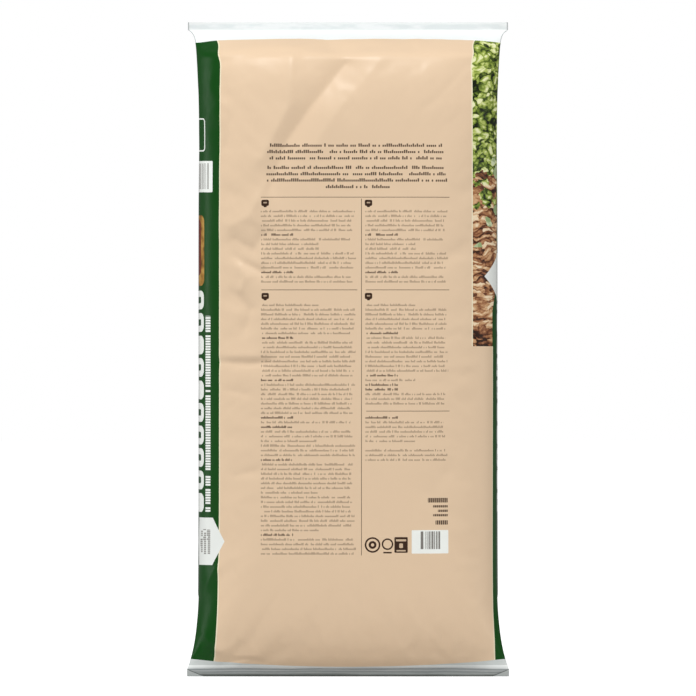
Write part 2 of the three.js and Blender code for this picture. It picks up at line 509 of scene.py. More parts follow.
def swelling(moved, passes):
    """The slow part of how the points moved, averaged over the grid of rings and columns."""
    field = moved.reshape(len(heights), -1, 3)
    for _ in range(passes):
        round_ring = (np.roll(field, 1, 1) + np.roll(field, -1, 1) + 2 * field) / 4
        above = np.concatenate([round_ring[1:], round_ring[-1:]])
        below = np.concatenate([round_ring[:1], round_ring[:-1]])
        field = (above + below + 2 * round_ring) / 4
    return field.reshape(-1, 3)


def wrinkle(piece):
    before = points_of(piece.data)
    simulate_film(piece)
    moved = points_of(piece.data) - before
    kept = moved - swelling(moved, SWELLING_PASSES)
    size = np.linalg.norm(kept, axis=1)
    kept *= np.minimum(1, LARGEST_WRINKLE * MM / np.maximum(size, 1e-9))[:, None]
    kept[:, 0] *= SIDEWAYS_SHARE
    from_middle = np.clip(np.abs(before[:, 0]) / MM / (BODY_WIDTH / 2), 0, 1)
    kept *= (MIDDLE_SHARE + (1 - MIDDLE_SHARE) * from_middle**2)[:, None]
    height = before[:, 2] / MM
    free = np.clip(np.minimum(height - WELD_HEIGHT, WELD_FOOT - height) / FREE_REACH, 0, 1)
    set_points(piece.data, before + kept * free[:, None])
    print("wrinkles of", round(float(size.mean() / MM), 1), "mm on average")


wrinkle(bag)

# %% Smooth the film between the rings
SHARP_EDGE = math.radians(50)

finer = bag.modifiers.new("finer film", "SUBSURF")
finer.levels = finer.render_levels = 1
apply_modifier(bag, finer)
bpy.ops.object.shade_smooth_by_angle(angle=SHARP_EDGE)
bag.select_set(False)
print("film of", len(bag.data.polygons), "faces")
raise_folds(bag, BACK_FOLDS, -1)
raise_folds(bag, FRONT_FOLDS, 1)

# %% [markdown]
# ## The nodes that draw the print
#
# The print has no picture file: it is worked out from the film map, so it bends
# with the film. Small helpers add one node each and join it up, which keeps the
# groups below short enough to read.

# %% Node helpers
def math_method(operation):
    return lambda wiring, *feeds: wiring.calc(operation, *feeds)


class Wiring:
    """Adds shader nodes to a tree, each fed by numbers or by other nodes' outputs."""

    def __init__(self, tree):
        self.tree = tree

    def add(self, kind, *feeds, out=0, **settings):
        node = self.tree.nodes.new("ShaderNode" + kind)
        for name, value in settings.items():
            setattr(node, name, value)
        for socket, feed in zip(node.inputs, feeds):
            self.feed(socket, feed)
        return node.outputs[out]

    def feed(self, socket, value):
        if isinstance(value, bpy.types.NodeSocket):
            self.tree.links.new(value, socket)
        elif value is not None:
            socket.default_value = value

    def fill(self, node, **feeds):
        """Feeds inputs by their names, in which an underscore stands for a space."""
        for name, value in feeds.items():
            self.feed(node.inputs[name.replace("_", " ")], value)
        return node

    def node(self, kind, **feeds):
        return self.fill(self.tree.nodes.new("ShaderNode" + kind), **feeds)

    def group(self, tree, out=0, **feeds):
        node = self.tree.nodes.new("ShaderNodeGroup")
        node.node_tree = tree
        return self.fill(node, **feeds).outputs[out]

    def calc(self, operation, a, b=None, c=None):
        return self.add("Math", a, b, c, operation=operation)

    plus, minus = math_method("ADD"), math_method("SUBTRACT")
    times, over = math_method("MULTIPLY"), math_method("DIVIDE")
    larger, smaller = math_method("MAXIMUM"), math_method("MINIMUM")
    size, floor, exp = math_method("ABSOLUTE"), math_method("FLOOR"), math_method("EXPONENT")
    is_over, is_under = math_method("GREATER_THAN"), math_method("LESS_THAN")

    def combine(self, x, y, z=0.0):
        return self.add("CombineXYZ", x, y, z)

    def axis(self, vector, name):
        return self.add("SeparateXYZ", vector, out=name)

    def across_and_up(self, film):
        axes = self.axis(film, "X").node
        return axes.outputs["X"], axes.outputs["Y"]

    def stretched(self, vector, scale, turn=0.0):
        return self.node("Mapping", Vector=vector, Rotation=(0, 0, turn), Scale=scale).outputs[0]

    def between(self, value, low, high):
        return self.times(self.is_over(value, low), self.is_under(value, high))

    def random(self, vector):
        return self.add("TexWhiteNoise", vector, noise_dimensions="3D")

    def mix(self, factor, below, above):
        node = self.tree.nodes.new("ShaderNodeMix")
        node.data_type = "RGBA"
        self.feed(node.inputs[0], factor)
        self.feed(node.inputs[6], below)
        self.feed(node.inputs[7], above)
        return node.outputs[2]


def new_group(name, inputs, outputs):
    tree = bpy.data.node_groups.new(name, "ShaderNodeTree")
    for label, kind, value in inputs:
        socket = tree.interface.new_socket(label, in_out="INPUT", socket_type=kind)
        if value is not None:
            socket.default_value = value
    for label, kind in outputs:
        tree.interface.new_socket(label, in_out="OUTPUT", socket_type=kind)
    enter = tree.nodes.new("NodeGroupInput")
    leave = tree.nodes.new("NodeGroupOutput")
    return Wiring(tree), enter.outputs, leave.inputs


FLOAT = "NodeSocketFloat"
VECTOR = "NodeSocketVector"
COLOUR = "NodeSocketColor"


def ink_group(name, *sizes, outputs=("Mask",)):
    """A group for one shape of ink, which takes the film map and the shape's own sizes."""
    inputs = [("Film", VECTOR, None)] + [(size, FLOAT, 0) for size in sizes]
    return new_group(name, inputs, [(label, FLOAT) for label in outputs])


def colour(red, green, blue):
    """A colour written as it looks on a screen, from 0 to 255, for a node's linear socket."""
    def linear(value):
        value /= 255
        return value / 12.92 if value <= 0.04045 else ((value + 0.055) / 1.055) ** 2.4
    return (linear(red), linear(green), linear(blue), 1.0)


# %% [markdown]
# ## Shapes of ink
#
# Everything on the panels is one of five plain shapes: a rounded box, a six-sided
# badge, a ring, a block of small marks as long as lines of small print, and a bar
# code of plain stripes. Each is a group that gives a mask, so one group serves many places.

# %% A rounded box
def build_box_group():
    w, given, out = ink_group("Rounded Box", "Across", "Up", "Half Width", "Half Height", "Corner",
                              outputs=("Mask", "Distance"))
    across, up = w.across_and_up(given["Film"])
    sides = []
    for place, centre, half in ((across, "Across", "Half Width"), (up, "Up", "Half Height")):
        away = w.size(w.minus(place, given[centre]))
        sides.append(w.minus(away, w.minus(given[half], given["Corner"])))
    past = [w.larger(side, 0.0) for side in sides]
    round_part = w.calc("SQRT", w.plus(*[w.times(p, p) for p in past]))
    inside = w.smaller(w.larger(*sides), 0.0)
    distance = w.minus(w.plus(round_part, inside), given["Corner"])
    w.feed(out["Mask"], w.is_under(distance, 0.0))
    w.feed(out["Distance"], distance)
    return w.tree


BOX = build_box_group()

# %% A six-sided badge
def build_badge_group():
    w, given, out = ink_group("Six-sided Badge", "Across", "Up", "Half Height", "Slant")
    across, up = w.across_and_up(given["Film"])
    across = w.size(w.minus(across, given["Across"]))
    up = w.size(w.minus(up, given["Up"]))
    slanted = w.plus(w.times(across, given["Slant"]), w.times(up, 0.5))
    w.feed(out["Mask"], w.is_under(w.larger(slanted, up), given["Half Height"]))
    return w.tree


BADGE = build_badge_group()

# %% A block of small marks in lines
LETTER_INK = 0.72
SPACE_SHARE = 0.17
TALL_SHARE = 0.35
LOW_LETTER = 0.62
SHORT_LINE_SHARE = 0.14
SHORT_LINE_CUT = 0.4
RAGGED_CUT = 0.08
FOOT_OF_LINE = 0.8


def build_lines_group():
    w, given, out = ink_group("Lines of Marks", "Left", "Right", "Top", "Bottom", "Pitch", "Ink", "Letter",
                              "Centred", "Short Lines")
    x, y = w.across_and_up(given["Film"])
    down = w.over(w.minus(given["Top"], y), given["Pitch"])
    row = w.floor(down)
    in_rows = w.between(y, given["Bottom"], given["Top"])

    width = w.minus(given["Right"], given["Left"])
    chance = w.random(w.combine(row, given["Top"], 3.0))
    is_short = w.is_under(chance, given["Short Lines"])
    cut = w.plus(w.times(chance, RAGGED_CUT), w.times(is_short, SHORT_LINE_CUT))
    used = w.times(width, w.minus(1.0, cut))
    margin = w.times(w.minus(width, used), w.times(given["Centred"], 0.5))
    across = w.minus(w.minus(x, given["Left"]), margin)
    in_width = w.between(across, 0.0, used)

    letters = w.over(across, given["Letter"])
    cell = w.floor(letters)
    in_letter = w.is_under(w.minus(letters, cell), LETTER_INK)
    chances = w.add("TexWhiteNoise", w.combine(cell, row, given["Top"]), out="Color")
    picks = w.add("SeparateColor", chances).node
    is_letter = w.is_over(picks.outputs[0], SPACE_SHARE)
    tall = w.is_under(picks.outputs[1], TALL_SHARE)
    height = w.plus(LOW_LETTER, w.times(tall, 1 - LOW_LETTER))
    above = w.minus(FOOT_OF_LINE, w.minus(down, row))
    in_height = w.between(above, 0.0, w.times(given["Ink"], height))

    mask = w.times(w.times(in_rows, in_width), w.times(in_letter, is_letter))
    w.feed(out["Mask"], w.times(mask, in_height))
    return w.tree


LINES = build_lines_group()

# %% A ring and a bar code of plain stripes
STRIPE_WIDTH = 0.7 * MM
GAP_SHARE = 0.45


def build_ring_group():
    w, given, out = ink_group("Ring", "Across", "Up", "Radius", "Line")
    centre = w.combine(given["Across"], given["Up"])
    distance = w.add("VectorMath", given["Film"], centre, operation="DISTANCE", out="Value")
    gap = w.size(w.minus(distance, given["Radius"]))
    w.feed(out["Mask"], w.is_under(gap, w.times(given["Line"], 0.5)))
    return w.tree


def build_stripes_group():
    w, given, out = ink_group("Plain Stripes", "Left", "Right", "Bottom", "Top")
    across, up = w.across_and_up(given["Film"])
    in_width = w.between(across, given["Left"], given["Right"])
    inside = w.times(in_width, w.between(up, given["Bottom"], given["Top"]))
    cell = w.floor(w.over(across, STRIPE_WIDTH))
    is_bar = w.is_over(w.random(w.combine(cell, given["Left"], given["Top"])), GAP_SHARE)
    w.feed(out["Mask"], w.times(inside, is_bar))
    return w.tree


RING = build_ring_group()
STRIPES = build_stripes_group()
print("ink shapes:", [g.name for g in bpy.data.node_groups])

# %% [markdown]
# ## The picture field
#
# Sacks of this kind carry a field of foliage over bark on their sides. Here it is
# made of two cell patterns: small rounded cells in greens for leaves above, and
# long slanted cells in browns for chips below, with a torn edge between them.

# %% Leaves over bark, from cells
LEAF_SCALE = 150.0
LEAF_LENGTH = 0.65
PALE_LEAF_SCALE = 52.0
PALE_LEAVES = (560 * MM, 690 * MM)
CHIP_SCALE = 56.0
CHIP_STRETCH = 3.8
CHIP_SLANT = math.radians(-14)
LEAVES_END = 640 * MM
LEAVES_TEAR = 180 * MM
TEAR_SCALE = 30.0
WAVER_SCALE = 28.0
WAVER = 0.03
FINE_GRAIN_SCALE = 330.0
CLUMP_SHARE = 1.1
# The share of a cell's own tone, the tone of all, the shade towards its edge, and the scale of clumps
LEAF_TONE = (0.75, 0.52, 0.8, 34.0)
CHIP_TONE = (0.8, 0.48, 0.7, 26.0)
LEAF_TINTS = [
    (0.08, (22, 30, 14)), (0.3, (66, 84, 28)), (0.5, (124, 144, 54)), (0.72, (180, 194, 100)),
    (0.95, (234, 236, 186)),
]
CHIP_TINTS = [
    (0.05, (48, 28, 18)), (0.28, (118, 70, 44)), (0.52, (172, 120, 80)), (0.76, (214, 172, 128)),
    (0.97, (240, 218, 184)),
]
PALE_LEAF_TINTS = [(0.2, (150, 170, 120)), (0.8, (214, 222, 184))]
PALE_LEAF_PICK = 0.68
PALE_LEAF_REACH = 0.42


def ramp(w, factor, stops, interpolation="LINEAR"):
    """A colour ramp whose stops are a place and a colour, or a place and how strong a mask is there."""
    made = w.add("ValToRGB", factor)
    elements = made.node.color_ramp.elements
    made.node.color_ramp.interpolation = interpolation
    while len(elements) < len(stops):
        elements.new(1.0)
    for element, (place, tint) in zip(elements, stops):
        element.position = place
        element.color = colour(*tint) if isinstance(tint, tuple) else (tint, tint, tint, 1.0)
    return made


def noise(w, vector, scale, detail=2.0, roughness=0.5, out=0):
    return w.add("TexNoise", vector, None, scale, detail, roughness, out=out)


def build_picture_group():
    w, given, out = new_group("Foliage over Bark", [("Film", VECTOR, None)], [("Colour", COLOUR)])
    film = given["Film"]
    waver = noise(w, film, WAVER_SCALE, 3.0, out="Color")
    bend = w.add("VectorMath", waver, (0.5, 0.5, 0.5), operation="SUBTRACT")
    bend = w.add("VectorMath", bend, None, None, WAVER, operation="SCALE")
    bent = w.add("VectorMath", film, bend, operation="ADD")

    fine = noise(w, w.stretched(bent, (0.5, 1.0, 1.0)), FINE_GRAIN_SCALE, 2.0, 0.6)

    def cells(vector, scale):
        node = w.node("TexVoronoi", Vector=vector, Scale=scale)
        return node.outputs["Distance"], w.axis(node.outputs["Color"], "X")

    def tone(distance, pick, pick_share, base, shade, clumps):
        lit = w.minus(w.plus(w.times(pick, pick_share), base), w.times(distance, shade))
        lit = w.plus(lit, w.times(w.minus(noise(w, film, clumps), 0.5), CLUMP_SHARE))
        return w.plus(lit, w.minus(fine, 0.5))

    leaf_distance, leaf_pick = cells(w.stretched(bent, (LEAF_LENGTH, 1.0, 1.0)), LEAF_SCALE)
    leaf_colour = ramp(w, tone(leaf_distance, leaf_pick, *LEAF_TONE), LEAF_TINTS)

    slant = w.stretched(bent, (1.0, CHIP_STRETCH, 1.0), turn=CHIP_SLANT)
    chip_distance, chip_pick = cells(slant, CHIP_SCALE)
    chip_colour = ramp(w, tone(chip_distance, chip_pick, *CHIP_TONE), CHIP_TINTS)

    height = w.axis(film, "Y")
    torn = w.times(w.minus(noise(w, film, TEAR_SCALE, 4.0), 0.5), LEAVES_TEAR)
    is_leaf = w.is_over(w.plus(height, torn), LEAVES_END)
    pale_distance, pale_pick = cells(bent, PALE_LEAF_SCALE)
    is_pale = w.times(w.is_over(pale_pick, PALE_LEAF_PICK), w.is_under(pale_distance, PALE_LEAF_REACH))
    is_pale = w.times(is_pale, w.between(height, *PALE_LEAVES))
    pale_colour = ramp(w, leaf_pick, PALE_LEAF_TINTS)
    w.feed(out["Colour"], w.mix(is_pale, w.mix(is_leaf, chip_colour, leaf_colour), pale_colour))
    return w.tree


PICTURE = build_picture_group()
print("picture field nodes:", len(PICTURE.nodes))

# %% [markdown]
# ## The film's own surface
#
# Thin film over chips is never quite flat: chips push soft lumps into it, and
# handling leaves fine crackles. Both are far smaller than the folds, so they
# are bump. They are one group with a strength for each, so that another sack's
# film can use them smoother or more crumpled.

# %% Lumps and crackles
LUMP_SCALE = 24.0
CRACKLE_SCALE = 34.0
CRACKLE_HEIGHT = 0.35
CRACKLE_SHARPNESS = 7.0
CRACKLE_LENGTH = 0.55
CRACKLED_PATCHES = 9.0
CRACKLED_FROM = 0.55
CRACKLED_EDGE = 3.0
FINE_SCALE = 210.0
FINE_HEIGHT = 0.05
SMOOTHEST = 0.27
ROUGHNESS_SPREAD = 0.16


def build_surface_group():
    inputs = [("Position", VECTOR, None), ("Lumps", FLOAT, 1.0), ("Crackle", FLOAT, 1.0)]
    w, given, out = new_group("Film over Chips", inputs, [("Height", FLOAT), ("Roughness", FLOAT)])
    place = given["Position"]
    lumps = w.times(noise(w, place, LUMP_SCALE, 2.0, 0.45), given["Lumps"])
    stretch = w.stretched(place, (1.0, 1.0, CRACKLE_LENGTH))
    crackle = w.node("TexVoronoi", Vector=stretch, Scale=CRACKLE_SCALE)
    crackle.feature = "DISTANCE_TO_EDGE"
    edge = w.smaller(w.times(crackle.outputs["Distance"], CRACKLE_SHARPNESS), 1.0)
    where = w.larger(w.times(w.minus(noise(w, place, CRACKLED_PATCHES), CRACKLED_FROM), CRACKLED_EDGE), 0.0)
    line = w.times(w.times(w.minus(1.0, edge), where), given["Crackle"])
    fine = w.times(noise(w, place, FINE_SCALE, 2.0), FINE_HEIGHT)
    w.feed(out["Height"], w.plus(w.plus(lumps, w.times(line, CRACKLE_HEIGHT)), fine))
    w.feed(out["Roughness"], w.plus(SMOOTHEST, w.times(noise(w, place, 14.0, 3.0), ROUGHNESS_SPREAD)))
    return w.tree


SURFACE = build_surface_group()

# %% [markdown]
# ## The printed film
#
# The colours go on in the order of printing: green over the white film, then the
# picture field, the tan panel with a thin bare line round it, and last the dark
# and white inks. Places are measured on the film in millimetres, round the tube
# from the middle of the back and up from the floor. The small print is blocks of
# plain marks and the symbols are plain shapes, so nothing on the bag reads.

# %% Colours and places of the print
GREEN = colour(12, 70, 14)
TAN = colour(226, 199, 168)
BARE_FILM = colour(236, 240, 239)
BARE_LINE = colour(236, 226, 196)
DARK_INK = colour(58, 38, 26)
WHITE_INK = colour(240, 243, 238)
RUSSET = colour(112, 44, 24)
BADGE_INK = colour(234, 237, 233)

PRINT_TOP = 831.5
PRINT_TOP_CORNER_DROP = 2.5
PRINT_BOTTOM = 13.0
PRINT_BOTTOM_CORNER_RISE = 10.0
BARE_UNDERSIDE = 62.0

PANEL_LEFT = -168.0
PANEL_LEFT_FLARE = 12.0
PANEL_FLARE_REACH = 45.0
PANEL_RIGHT_DRAW = 5.0
PANEL_DRAW_REACH = 120.0
SHOULDER_HEIGHT = 808.0
SHOULDER_SPREAD = 24.0
SHOULDER_STRETCH = 5.0
TOP_SLIP = 10.0
TOP_SLIP_REACH = 12.0
PICTURE_LEFT = 162.0
PICTURE_BOTTOM = 431.0
PICTURE_CORNER = 478.0
PICTURE_CORNER_SLANT = 0.35
PANEL_RIGHT = 197.5
BARE_LINE_WIDTH = 1.6

LEFT_COLUMN = (-112.5, 12.0)
RIGHT_COLUMN = (22.6, 131.0)
COLUMN_TOP = 610.0
COLUMN_BOTTOM = 159.0
LINE_PITCH = 6.1
SMALL_LETTER = 1.5
SMALL_INK = 0.5
HEADING_WIDTH = 42.0

# How strong the marks are from each line down: bare, small print, or a bold heading
BARE, SMALL, BOLD = 0.0, 0.56, 1.0
LEFT_LINES = [
    (0, SMALL), (5, BOLD), (6, SMALL), (13, BOLD), (14, SMALL), (16, BARE), (20, SMALL), (27, BOLD),
    (28, SMALL), (36, BOLD), (37, SMALL), (44, BOLD), (45, SMALL), (46, BOLD), (47, SMALL), (53, BOLD),
    (54, SMALL), (69, BOLD), (70, SMALL),
]
RIGHT_LINES = [
    (0, SMALL), (5, BOLD), (6, SMALL), (13, BOLD), (14, SMALL), (16, BARE), (20, SMALL), (26, BOLD),
    (27, SMALL), (35, BOLD), (36, SMALL), (37, BOLD), (39, SMALL), (42, BARE), (44, BOLD), (45, SMALL),
    (50, BARE), (51, SMALL), (54, BARE),
]
# Top, number of lines, left and right end of each block above the columns
INTRO_BLOCKS = [(696.8, 3, -109.0, 130.0), (668.0, 3, -109.0, 130.0), (643.1, 1, -34.0, 54.0)]
INTRO_PITCH = 8.21
INTRO_INK = 0.52
INTRO_LETTER = 2.6
INTRO_STRENGTH = 0.92

# %% Masks of the fields
def field_masks(w, film, position):
    across = w.axis(film, "X")
    up = w.axis(film, "Y")
    depth = w.axis(position, "Y")
    spread = w.smaller(w.size(w.over(across, FLAT_WIDTH / 2 * MM)), 1.0)
    corner = w.times(spread, spread)
    top = w.minus(PRINT_TOP * MM, w.times(w.times(corner, corner), PRINT_TOP_CORNER_DROP * MM))
    bottom = w.plus(PRINT_BOTTOM * MM, w.times(corner, PRINT_BOTTOM_CORNER_RISE * MM))
    bare_below = w.times(w.is_under(up, bottom), w.is_under(depth, -BARE_UNDERSIDE * MM))
    bare = w.larger(w.is_over(up, top), bare_below)

    flare = w.exp(w.over(up, -PANEL_FLARE_REACH * MM))
    from_shoulder = w.over(w.minus(up, SHOULDER_HEIGHT * MM), SHOULDER_SPREAD * MM)
    bell = w.exp(w.times(w.times(from_shoulder, from_shoulder), -1.0))
    slip = w.exp(w.over(w.minus(up, PRINT_TOP * MM), TOP_SLIP_REACH * MM))
    stretch = w.minus(w.times(bell, SHOULDER_STRETCH * MM), w.times(slip, TOP_SLIP * MM))
    left = w.minus(w.plus(PANEL_LEFT * MM, stretch), w.times(flare, PANEL_LEFT_FLARE * MM))
    is_upper = w.is_over(up, PICTURE_BOTTOM * MM)
    step = (PANEL_RIGHT - PICTURE_LEFT) * MM
    draw = w.exp(w.over(up, -PANEL_DRAW_REACH * MM))
    right = w.minus(PANEL_RIGHT * MM, w.times(draw, PANEL_RIGHT_DRAW * MM))
    right = w.minus(w.minus(right, w.times(is_upper, step)), stretch)
    past = w.larger(w.minus(left, across), w.minus(across, right))
    panel = w.is_under(past, 0.0)
    line = w.is_under(past, BARE_LINE_WIDTH * MM)

    rounding = w.times(w.larger(w.minus(up, PICTURE_CORNER * MM), 0.0), PICTURE_CORNER_SLANT)
    in_picture = w.between(across, 0.0, w.plus(PANEL_RIGHT * MM, rounding))
    on_front = w.is_over(w.size(across), (FLAT_WIDTH / 2 + 2 * GUSSET_DEPTH) * MM)
    picture = w.times(w.larger(in_picture, on_front), is_upper)
    return bare, panel, line, picture


# %% The bare film: grey over bark at the bottom with painted shade and painted crease lines, and a painted shade line along the fold at the top
FOLDED_BAND = 15.0
FOLDED_SHADE_STREAKS = (9.0, 9.0, 160.0)
FOLDED_SHADE_WAVER = 0.34
# Grey film over bark, darker towards the floor as painted shade of the turned-under film, with bands of
# painted crease shade
FOLDED_GREY_AND_SHADE_TINTS = [
    (0.0, (104, 110, 106)), (0.16, (128, 133, 129)), (0.3, (186, 191, 189)), (0.42, (150, 156, 156)),
    (0.52, (196, 200, 199)), (0.64, (134, 141, 143)), (0.76, (206, 210, 209)), (0.95, (234, 238, 236)),
]
SEAL_TINTS = [(0.42, (224, 230, 230)), (0.6, (238, 241, 241))]
SEAL_BLOTCHES = (30.0, 30.0, 110.0)
SEAL_INSET = 2.5
# A grey line of painted shade along the fold's edge above the print
FOLD_EDGE_SHADE = colour(176, 180, 180)
FOLD_EDGE_SHADE_WIDTH = 1.5
EAR_FROM = 187.0
EAR_SLOPE = 2.4
EAR_FILM = colour(204, 209, 207)
# A dark line of painted crease shade between each ear and the folded band
EAR_CREASE_SHADE = colour(120, 126, 124)
EAR_CREASE_SHADE_BAND = (-1.6 * MM, 1.4 * MM)


def folded_film_and_shade(w, across, up, position):
    """The band folded under, grey film over bark with painted shade towards the floor and painted crease
    lines, and the ears at its ends, which a slanted line of painted crease shade divides.
    """
    streaks = w.stretched(position, FOLDED_SHADE_STREAKS)
    waver = w.times(w.minus(noise(w, streaks, 1.0, 2.0), 0.5), FOLDED_SHADE_WAVER)
    folded_grey_and_shade = ramp(w, w.plus(w.over(up, FOLDED_BAND * MM), waver), FOLDED_GREY_AND_SHADE_TINTS)
    past = w.minus(across, w.plus(EAR_FROM * MM, w.times(up, EAR_SLOPE)))
    is_ear = w.larger(w.is_over(past, 0.0), w.is_over(up, FOLDED_BAND * MM))
    crease_shade = w.between(past, *EAR_CREASE_SHADE_BAND)
    return w.mix(crease_shade, w.mix(is_ear, folded_grey_and_shade, EAR_FILM), EAR_CREASE_SHADE)


def top_film(w, across, up, fold, position):
    """The strip above the print: a faint seal along the weld, and a grey line of painted shade along the
    fold's edge.
    """
    blotches = w.stretched(position, SEAL_BLOTCHES)
    seal = ramp(w, noise(w, blotches, 1.0, 2.0), SEAL_TINTS)
    in_seal = w.between(up, (WELD_FOOT + 1) * MM, (BAG_HEIGHT - SEAL_INSET) * MM)
    from_fold = w.size(w.minus(fold, FLAT_WIDTH / 2 * MM))
    edge_shade_mask = w.is_under(from_fold, FOLD_EDGE_SHADE_WIDTH * MM)
    return w.mix(edge_shade_mask, w.mix(in_seal, BARE_FILM, seal), FOLD_EDGE_SHADE)


def bare_film_and_shade(w, film, position):
    across = w.size(w.axis(position, "X"))
    up = w.axis(film, "Y")
    fold = w.size(w.axis(film, "X"))
    is_lower = w.is_under(up, BAG_HEIGHT / 2 * MM)
    return w.mix(is_lower, top_film(w, across, up, fold, position), folded_film_and_shade(w, across, up, position))


# %% Small print as plain marks
def strongest(w, masks):
    total = masks[0]
    for mask in masks[1:]:
        total = w.larger(total, mask)
    return total


def lines_of_marks(w, film, left, right, top, bottom, pitch, ink, letter, **more):
    return w.group(LINES, Film=film, Left=left * MM, Right=right * MM, Top=top * MM, Bottom=bottom * MM,
                   Pitch=pitch * MM, Ink=ink, Letter=letter * MM, **more)


def line_strength(w, film, left, lines):
    """A stepped ramp down the column that says how strong each line's marks are, with short headings."""
    count = (COLUMN_TOP - COLUMN_BOTTOM) / LINE_PITCH
    up = w.axis(film, "Y")
    down = w.over(w.minus(COLUMN_TOP * MM, up), (COLUMN_TOP - COLUMN_BOTTOM) * MM)
    steps = ramp(w, down, [(line / count, strength) for line, strength in lines], "CONSTANT")
    across = w.axis(film, "X")
    past_heading = w.is_over(across, (left + HEADING_WIDTH) * MM)
    is_bold = w.is_over(steps, (SMALL + BOLD) / 2)
    return w.minus(steps, w.times(is_bold, past_heading))


def small_print(w, film):
    masks = []
    for (left, right), lines in ((LEFT_COLUMN, LEFT_LINES), (RIGHT_COLUMN, RIGHT_LINES)):
        column = lines_of_marks(w, film, left, right, COLUMN_TOP, COLUMN_BOTTOM, LINE_PITCH, SMALL_INK,
                                SMALL_LETTER, Short_Lines=SHORT_LINE_SHARE)
        masks.append(w.times(column, line_strength(w, film, left, lines)))
    for top, lines, left, right in INTRO_BLOCKS:
        block = lines_of_marks(w, film, left, right, top, top - lines * INTRO_PITCH, INTRO_PITCH, INTRO_INK,
                               INTRO_LETTER, Centred=1.0)
        masks.append(w.times(block, INTRO_STRENGTH))
    return strongest(w, masks)


# %% Rules, marks and symbols of the tan panel
# Each box is its middle across and up, half its width and height, and its corner's radius
RULES = [
    (9.5, 624.8, 122.0, 0.35, 0.1), (17.4, 391.0, 0.35, 232.0, 0.1), (-50.0, 504.2, 62.0, 0.35, 0.1),
    (77.0, 504.2, 54.0, 0.35, 0.1), (77.5, 346.5, 54.0, 0.35, 0.1),
]
# Each ring is its middle across and up, its radius and the width of its line
RINGS = [(31.7, 172.5, 9.0, 2.2), (31.7, 172.5, 3.6, 3.0), (51.0, 173.5, 6.5, 2.0)]
RING_FOOT = (51.0, 162.5, 5.5, 1.0, 0.3)
SQUARE_SYMBOL = (68.5, 172.5, 8.6, 10.2, 1.2)
SQUARE_MARKS = [(68.5, 178.5, 6.6, 1.3, 0.3), (68.5, 171.5, 2.4, 3.0, 1.2), (68.5, 165.0, 6.0, 0.9, 0.3)]
SQUARE_MARK_SHARE = 0.8
SIGNS_ACROSS = (-107.0, 26.5)
SIGNS_UP = (496.2, 617.4)
# Each part of a sign is its height over the sign's middle, half its width and height, and its corner
SIGN_PARTS = [(0.0, 4.8, 4.0, 2.0), (-3.6, 2.0, 2.0, 1.0), (0.3, 2.2, 0.9, 0.3)]
SIGN_MARK_SHARE = 0.6
# Half the length, the height above the floor and half the height of each word at the lower right
WORD_BARS = [(13.0, 230.5, 3.0), (9.5, 222.5, 1.5), (6.5, 216.7, 1.5), (9.5, 211.0, 1.5), (8.0, 201.5, 2.8)]
WORDS_END = 129.0
WORD_CORNER = 0.5
WORD_LETTER = 2.6


def box(w, film, across, up, half_width, half_height, corner, out="Mask"):
    return w.group(BOX, Film=film, Across=across * MM, Up=up * MM, Half_Width=half_width * MM,
                   Half_Height=half_height * MM, Corner=corner * MM, out=out)


def column_signs(w, film):
    """The sign over each text, a dark shield with a pale mark, as one sign repeated in two rows of two."""
    (left, right), (low, high) = SIGNS_ACROSS, SIGNS_UP
    half_width, half_height = (right - left) / 2, (high - low) / 2
    across, up = w.across_and_up(film)
    repeated_across = w.calc("WRAP", across, (left + half_width) * MM, (left - half_width) * MM)
    repeated_up = w.calc("WRAP", up, (low + half_height) * MM, (low - half_height) * MM)
    repeated = w.combine(repeated_across, repeated_up)
    body, point, mark = (box(w, repeated, left, low + over, *sizes) for over, *sizes in SIGN_PARTS)
    sign = w.minus(w.larger(body, point), w.times(mark, SIGN_MARK_SHARE))
    in_columns = w.between(across, (left - half_width) * MM, (right + half_width) * MM)
    in_rows = w.between(up, (low - half_height) * MM, (high + half_height) * MM)
    return w.times(sign, w.times(in_columns, in_rows))


def rules_and_symbols(w, film):
    marks = [box(w, film, *rule) for rule in RULES] + [column_signs(w, film)]
    for across, up, radius, line in RINGS:
        marks.append(w.group(RING, Film=film, Across=across * MM, Up=up * MM, Radius=radius * MM,
                             Line=line * MM))
    marks.append(box(w, film, *RING_FOOT))
    square = box(w, film, *SQUARE_SYMBOL)
    pale_marks = strongest(w, [box(w, film, *mark) for mark in SQUARE_MARKS])
    marks.append(w.minus(square, w.times(pale_marks, SQUARE_MARK_SHARE)))
    words = [box(w, film, WORDS_END - half, up, half, height, WORD_CORNER) for half, up, height in WORD_BARS]
    letters = w.calc("FRACT", w.over(w.axis(film, "X"), WORD_LETTER * MM))
    marks.append(w.times(strongest(w, words), w.is_under(letters, LETTER_INK)))
    return strongest(w, marks)


# %% Inks on the green sides
def turned(w, film):
    """The film map turned a quarter, for what is printed up the side of the bag."""
    across, up = w.across_and_up(film)
    return w.combine(up, w.times(across, -1.0))


SIDE_BLOCKS_FROM = 212.0
SIDE_BLOCKS_TO = 506.0
SIDE_BLOCKS = 10
SIDE_BLOCKS_GAP = 5.0
LEFT_BLOCKS_START = -197.0
RIGHT_BLOCKS_START = 222.0
SIDE_BLOCKS_HALF_WIDTH = 31.0
BLOCK_CORNER = 8.0
HOLE_INSET = 8.0
HOLE_CORNER = 2.0
HOLE_SHARE = 0.6

# Left, right, top and bottom of the small lettering up the left side, its pitch, its ink and its
# letters. So much ink fills the low letters as well, as in capitals.
CAPITALS = 1.29
SIDE_LETTERING = (213, 476, 193, 181.0, 12.0, CAPITALS, 3.4)
CONTENTS_FRAME = (-213.0, 707.0, 19.0, 21.5, 5.0)
CONTENTS_LINE = 1.7


